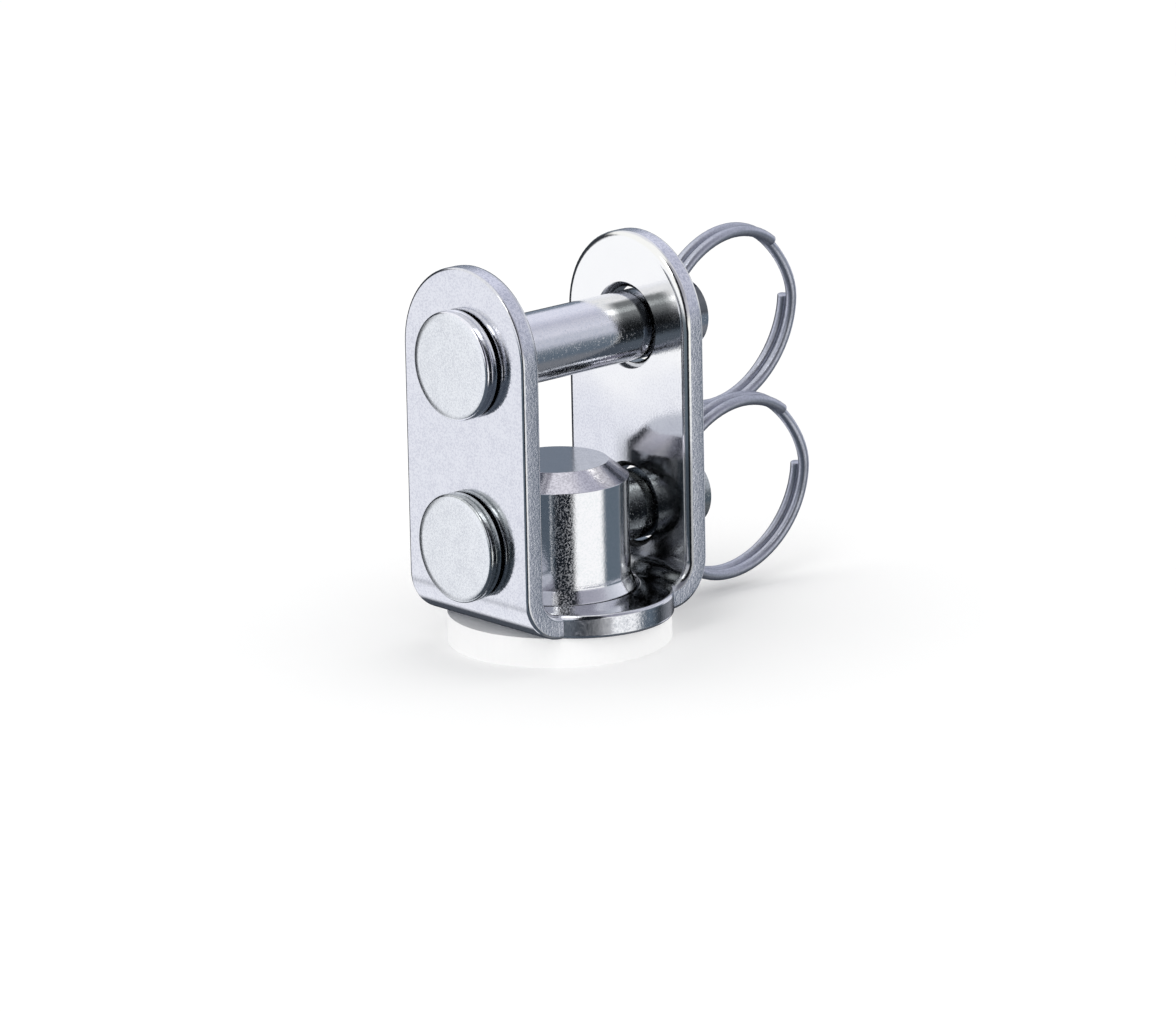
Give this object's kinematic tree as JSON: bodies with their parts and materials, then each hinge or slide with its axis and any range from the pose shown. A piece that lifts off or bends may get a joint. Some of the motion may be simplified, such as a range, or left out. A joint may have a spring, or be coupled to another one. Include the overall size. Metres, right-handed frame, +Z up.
{
  "type": "double clevis adapter",
  "caption": "U-shaped folded steel strap with two clevis pins held by split rings: the lower pin passes through a round post in the base, the upper one takes a lug between the ears.",
  "frame": {"origin": "centre of the base's underside, on the foot of the post", "axes": "+Z up along the post; +X along the pins from their heads to their split rings; +Y across the ears"},
  "size_m": [0.0531, 0.028, 0.0435],
  "materials": {
    "strap_steel": "polished",
    "post_steel": "polished",
    "pin_steel": "polished",
    "ring_wire": "satin"
  },
  "bodies": {
    "base": {"strap": "strap_steel", "head_post": "post_steel"},
    "upper_pin_body": {"upper_pin": "pin_steel"},
    "lower_pin_body": {"lower_pin": "pin_steel"},
    "upper_ring_body": {"upper_ring": "ring_wire"},
    "lower_ring_body": {"lower_ring": "ring_wire"}
  },
  "joints": [
    {"name": "upper_pin_turn", "type": "hinge", "parent": "base", "child": "upper_pin_body", "pos_m": [0, 0, 0.03065], "axis": [1, 0, 0], "range_deg": [0, 120]},
    {"name": "lower_pin_turn", "type": "hinge", "parent": "base", "child": "lower_pin_body", "pos_m": [0, 0, 0.00987], "axis": [1, 0, 0], "range_deg": [0, 120]},
    {"name": "upper_ring_swing", "type": "hinge", "parent": "upper_pin_body", "child": "upper_ring_body", "pos_m": [0.0167, 0, 0.03065], "axis": [0, -0.1219, 0.9925], "range_deg": [0, 87]},
    {"name": "lower_ring_swing", "type": "hinge", "parent": "lower_pin_body", "child": "lower_ring_body", "pos_m": [0.0167, 0, 0.00987], "axis": [0, -0.1219, 0.9925], "range_deg": [-89, 0]}
  ]
}
